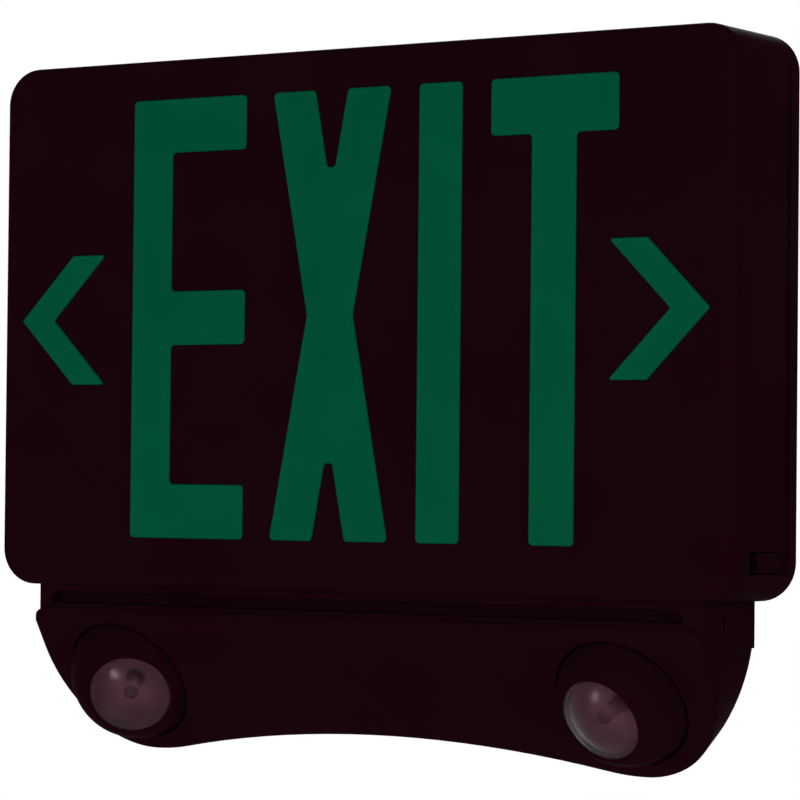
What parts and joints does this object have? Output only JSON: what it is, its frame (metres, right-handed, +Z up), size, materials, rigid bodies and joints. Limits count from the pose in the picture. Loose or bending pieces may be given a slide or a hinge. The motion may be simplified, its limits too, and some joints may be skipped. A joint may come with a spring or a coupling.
{
  "type": "exit emergency light",
  "caption": "Wall-mounted exit sign with cut-through legend and arrows over a sloping base that carries swivelling eyeball emergency lamps.",
  "frame": {"origin": "on the wall plane, at the middle of the wire entry behind the sign's centre", "axes": "+X to the viewer's right, +Y into the wall, +Z up; the sign faces -Y"},
  "size_m": [0.297, 0.0479, 0.2423],
  "materials": {
    "black_plastic": "matt moulded",
    "green_legend": "smooth translucent",
    "white_plastic": "matt moulded",
    "circuit_board": "lacquered board",
    "emitter": "smooth",
    "screw_steel": "zinc plated",
    "bushing_rubber": "matt",
    "core_steel": "varnished",
    "capacitor_sleeve": "shrink sleeve",
    "terminal_plastic": "moulded",
    "switch_plastic": "moulded",
    "button_plastic": "moulded",
    "status_plastic": "clear tinted",
    "battery_sleeve": "shrink sleeve",
    "lamp_mirror": "bright",
    "clear_lens": "clear moulded"
  },
  "bodies": {
    "case": {"front_housing": "black_plastic", "back_plate": "black_plastic", "base_front": "black_plastic", "base_rear": "black_plastic", "base_nipple": "black_plastic", "letter_panel": "green_legend", "light_box": "white_plastic", "battery_holder": "white_plastic", "upper_led_strip": "circuit_board", "lower_led_strip": "circuit_board", "charger_board": "circuit_board", "sign_leds": "emitter", "panel_screws": "screw_steel", "board_screws": "screw_steel", "base_screws": "screw_steel", "rear_screws": "screw_steel", "wire_bushing": "bushing_rubber", "transformer": "core_steel", "capacitor": "capacitor_sleeve", "terminal_block": "terminal_plastic", "test_switch": "switch_plastic", "status_light": "status_plastic", "battery_pack": "battery_sleeve"},
    "button": {"test_button": "button_plastic"},
    "left_ring": {"left_swivel_ring": "black_plastic", "left_pivot_pins": "screw_steel"},
    "left_head": {"left_head_shell": "black_plastic", "left_mirror": "lamp_mirror", "left_emitter": "emitter", "left_lens": "clear_lens"},
    "right_ring": {"right_swivel_ring": "black_plastic", "right_pivot_pins": "screw_steel"},
    "right_head": {"right_head_shell": "black_plastic", "right_mirror": "lamp_mirror", "right_emitter": "emitter", "right_lens": "clear_lens"}
  },
  "joints": [
    {"name": "test_push", "type": "slide", "parent": "case", "child": "button", "axis": [1, 0, 0], "range_m": [0, 0.0015], "stiffness_N_per_m": 700, "springref_m": -0.0004},
    {"name": "left_swivel", "type": "hinge", "parent": "case", "child": "left_ring", "pos_m": [-0.1002, -0.02459, -0.12267], "axis": [0, -0.8572, -0.515], "range_deg": [-90, 90]},
    {"name": "left_tilt", "type": "hinge", "parent": "left_ring", "child": "left_head", "pos_m": [-0.1002, -0.02459, -0.12267], "axis": [-0.1219, -0.5112, 0.8508], "range_deg": [-52, 1.5]},
    {"name": "right_swivel", "type": "hinge", "parent": "case", "child": "right_ring", "pos_m": [0.1002, -0.02459, -0.12267], "axis": [0, -0.8572, -0.515], "range_deg": [-90, 90]},
    {"name": "right_tilt", "type": "hinge", "parent": "right_ring", "child": "right_head", "pos_m": [0.1002, -0.02459, -0.12267], "axis": [0.5736, -0.4219, 0.7022], "range_deg": [-19.5, 34]}
  ]
}
